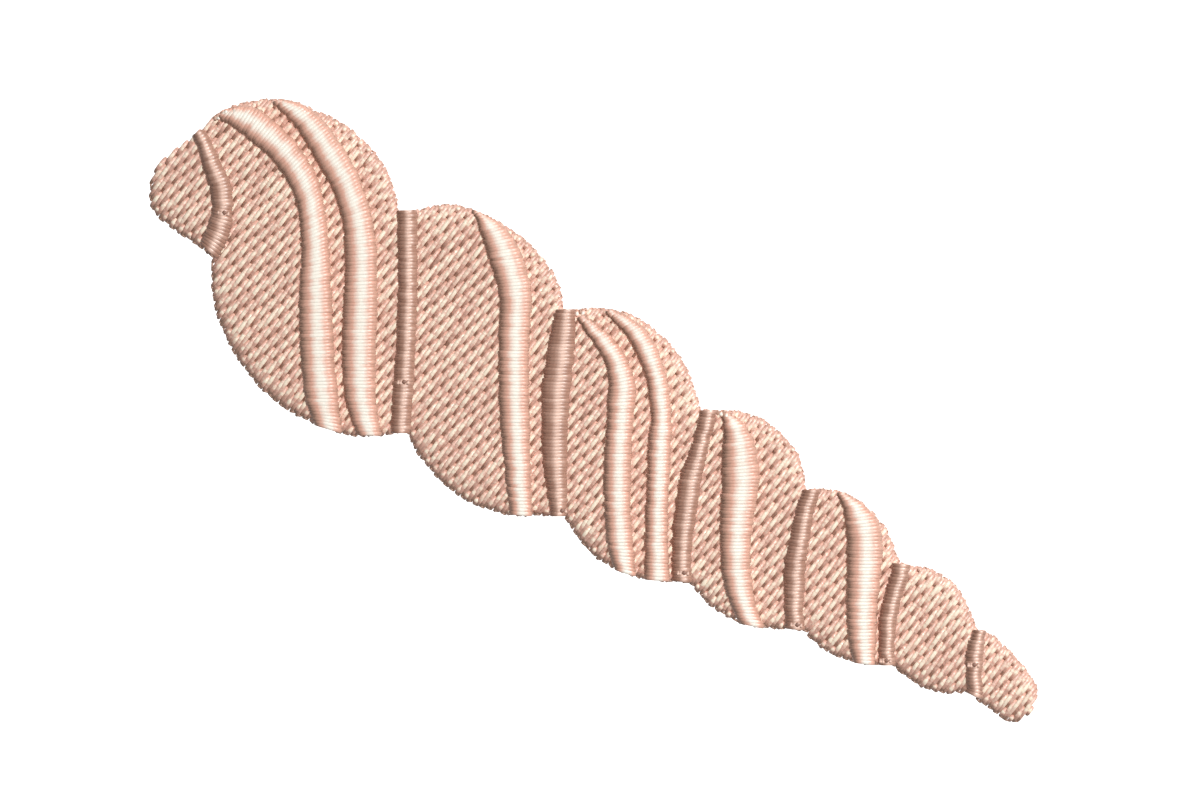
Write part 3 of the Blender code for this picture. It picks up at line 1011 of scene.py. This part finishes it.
def lay_tie_offs():
    """The knot and the lighter stitches of each suture, and the two halves of the travel."""
    stitches = []

    def lay(begin, finish, base, rise, tone):
        stitches.append(((*begin, base), (*finish, base), rise, tone))

    for number, place in enumerate(TIE_OFFS, start=1):
        place = np.array(place)
        top, across, down = suture_top(number, place)
        for turn in (across, down):
            reach = turn * KNOT_REACH
            lay(place - reach, place + reach, top + KNOT_ABOVE, KNOT_RISE, PAINTED_SHADE_TONE)
        for aside, length in LIGHTER_STITCHES:
            middle = place + across * aside + down * LIGHTER_DOWN
            reach = down * length
            lay(middle - reach, middle + reach, top - LIGHTER_BELOW, LIGHTER_RISE, LIGHTER_TONE)
    halfway = (TRAVEL_START + TRAVEL_END) / 2
    lay(TRAVEL_START, halfway, TRAVEL_Z, TRAVEL_RISE, PAINTED_SHADE_TONE)
    lay(halfway, TRAVEL_END, TRAVEL_Z, TRAVEL_RISE, PAINTED_SHADE_TONE)
    return stitch_lines("tie_off_lines", stitches)


tie_offs = sew(
    "tie_off_stitches", lay_tie_offs(), rose_thread,
    Thread_Width=TIE_OFF_WIDTH * MM, Thread_Height=TIE_OFF_HEIGHT * MM, Segments=6,
    Profile_Points=6, Roundness=1.0, Arch_Power=0.6, End_Width=0.7, Wander=0.0, Seed=60.0,
)
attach(tie_offs, "root")


# Bobbin thread. White spun thread that locks every stitch from behind; it runs from hole to
# hole under the cloth, along the same rows as the fill.

BOBBIN_HOLE_Z = 0.40
BOBBIN_SAG = -0.24
BOBBIN_INSET = 0.7
SHORTEST_BOBBIN_ROW = 0.8
SHORTEST_BOBBIN_STITCH = 0.4
BOBBIN_WIDTH = 0.30
BOBBIN_HEIGHT = 0.14
BOBBIN_SHADE = (0.50, 0.48, 0.44)
BOBBIN_WHITE = (0.78, 0.77, 0.73)
BOBBIN_PAINTED_HIGHLIGHT = (0.86, 0.85, 0.82)
SPUN_ROUGHNESS = 0.65

# A faint painted highlight on each stitch's crest; painted shade in its holes.
bobbin_white = thread_material(
    "bobbin_white", BOBBIN_SHADE, BOBBIN_WHITE, BOBBIN_PAINTED_HIGHLIGHT, SPUN_ROUGHNESS,
    Crest=0.1, Crest_Middle=0.5, Crest_Reach=0.3, Hole_Shade=0.4,
)


def lay_bobbin():
    """The bobbin's stitches, which end a little inside each row of the fill."""
    dice = random.Random(70)
    stitches = []
    for _, level, places in fill_holes():
        inset = [places[0] + BOBBIN_INSET, *places[1:-1], places[-1] - BOBBIN_INSET]
        if inset[-1] - inset[0] < SHORTEST_BOBBIN_ROW:
            continue
        for begin, finish in zip(inset, inset[1:]):
            if finish - begin < SHORTEST_BOBBIN_STITCH:
                continue
            at_start, at_end = at_row(begin, level), at_row(finish, level)
            tone = 0.5 + dice.uniform(-TONE_SPREAD, TONE_SPREAD)
            stitches.append((
                (*at_start, BOBBIN_HOLE_Z), (*at_end, BOBBIN_HOLE_Z), BOBBIN_SAG, tone,
            ))
    return stitch_lines("bobbin_lines", stitches)


bobbin = sew(
    "bobbin_stitches", lay_bobbin(), bobbin_white,
    Thread_Width=BOBBIN_WIDTH * MM, Thread_Height=BOBBIN_HEIGHT * MM,
    Segments=5, Profile_Points=5, Profile_Turn=math.pi, Roundness=0.6, Arch_Power=0.6,
    End_Width=0.7, Wander=0.00005, Seed=7.0,
)
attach(bobbin, "root")
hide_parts("bobbin_thread")


# Table, light and camera. The photo looks straight down on a plain white table with no
# shadow; the light comes from the upper right, and the threads' dark ends face away from it.

TABLE_HALF = 0.6
TABLE_Z = -0.00002
TABLE_GLOW = 0.85

table_white, tree, shader = principled("table_white")
shader.inputs["Base Color"].default_value = (0.80, 0.80, 0.80, 1.0)
shader.inputs["Roughness"].default_value = 0.9
shader.inputs["Emission Color"].default_value = (1.0, 1.0, 1.0, 1.0)
seen = add_node(tree, "ShaderNodeLightPath").outputs["Is Camera Ray"]
glow = calculate(tree, "MULTIPLY", seen, TABLE_GLOW)
tree.links.new(glow, shader.inputs["Emission Strength"])

table_mesh = bpy.data.meshes.new("table")
table_mesh.from_pydata(
    [
        (x * TABLE_HALF, y * TABLE_HALF, TABLE_Z)
        for x, y in ((-1, -1), (1, -1), (1, 1), (-1, 1))
    ],
    [], [(0, 1, 2, 3)],
)
table_mesh.materials.append(table_white)
table = bpy.data.objects.new("table", table_mesh)
bpy.context.scene.collection.objects.link(table)

world = bpy.data.worlds.new("studio")
bpy.context.scene.world = world
world.use_nodes = True
background = world.node_tree.nodes["Background"]
background.inputs["Color"].default_value = (1.0, 0.99, 0.98, 1.0)
background.inputs["Strength"].default_value = 0.10

LAMP_DISTANCE = 0.8
LAMP_SIZE = 0.16


def area_light(name, azimuth, from_vertical, power):
    """A round light aimed at the patch; azimuth is counted from +X towards +Y."""
    light = bpy.data.lights.new(name, "AREA")
    light.shape = "DISK"
    light.size = LAMP_SIZE
    light.energy = power
    lamp = bpy.data.objects.new(name, light)
    turn, tip = math.radians(azimuth), math.radians(from_vertical)
    lamp.location = (
        LAMP_DISTANCE * math.sin(tip) * math.cos(turn),
        LAMP_DISTANCE * math.sin(tip) * math.sin(turn),
        LAMP_DISTANCE * math.cos(tip),
    )
    lamp.rotation_euler = (0.0, tip, turn)
    bpy.context.scene.collection.objects.link(lamp)
    return lamp


key = area_light("key", azimuth=33.0, from_vertical=45.0, power=6.3)
key.data.use_shadow = False
area_light("overhead", azimuth=30.0, from_vertical=8.0, power=1.3)

VIEW_CENTRE = (0.00074, 0.00119)
VIEW_WIDTH = 0.1346
LENS = 150.0
SENSOR = 36.0
STITCHED_FACE_Z = 0.0016

camera_data = bpy.data.cameras.new("camera")
camera_data.lens = LENS
camera_data.sensor_width = SENSOR
camera_data.clip_start = 0.01
camera_data.clip_end = 10.0
camera = bpy.data.objects.new("camera", camera_data)
camera.location = (*VIEW_CENTRE, STITCHED_FACE_Z + VIEW_WIDTH * LENS / SENSOR)
bpy.context.scene.collection.objects.link(camera)
bpy.context.scene.camera = camera
bpy.context.scene.view_settings.view_transform = "Standard"
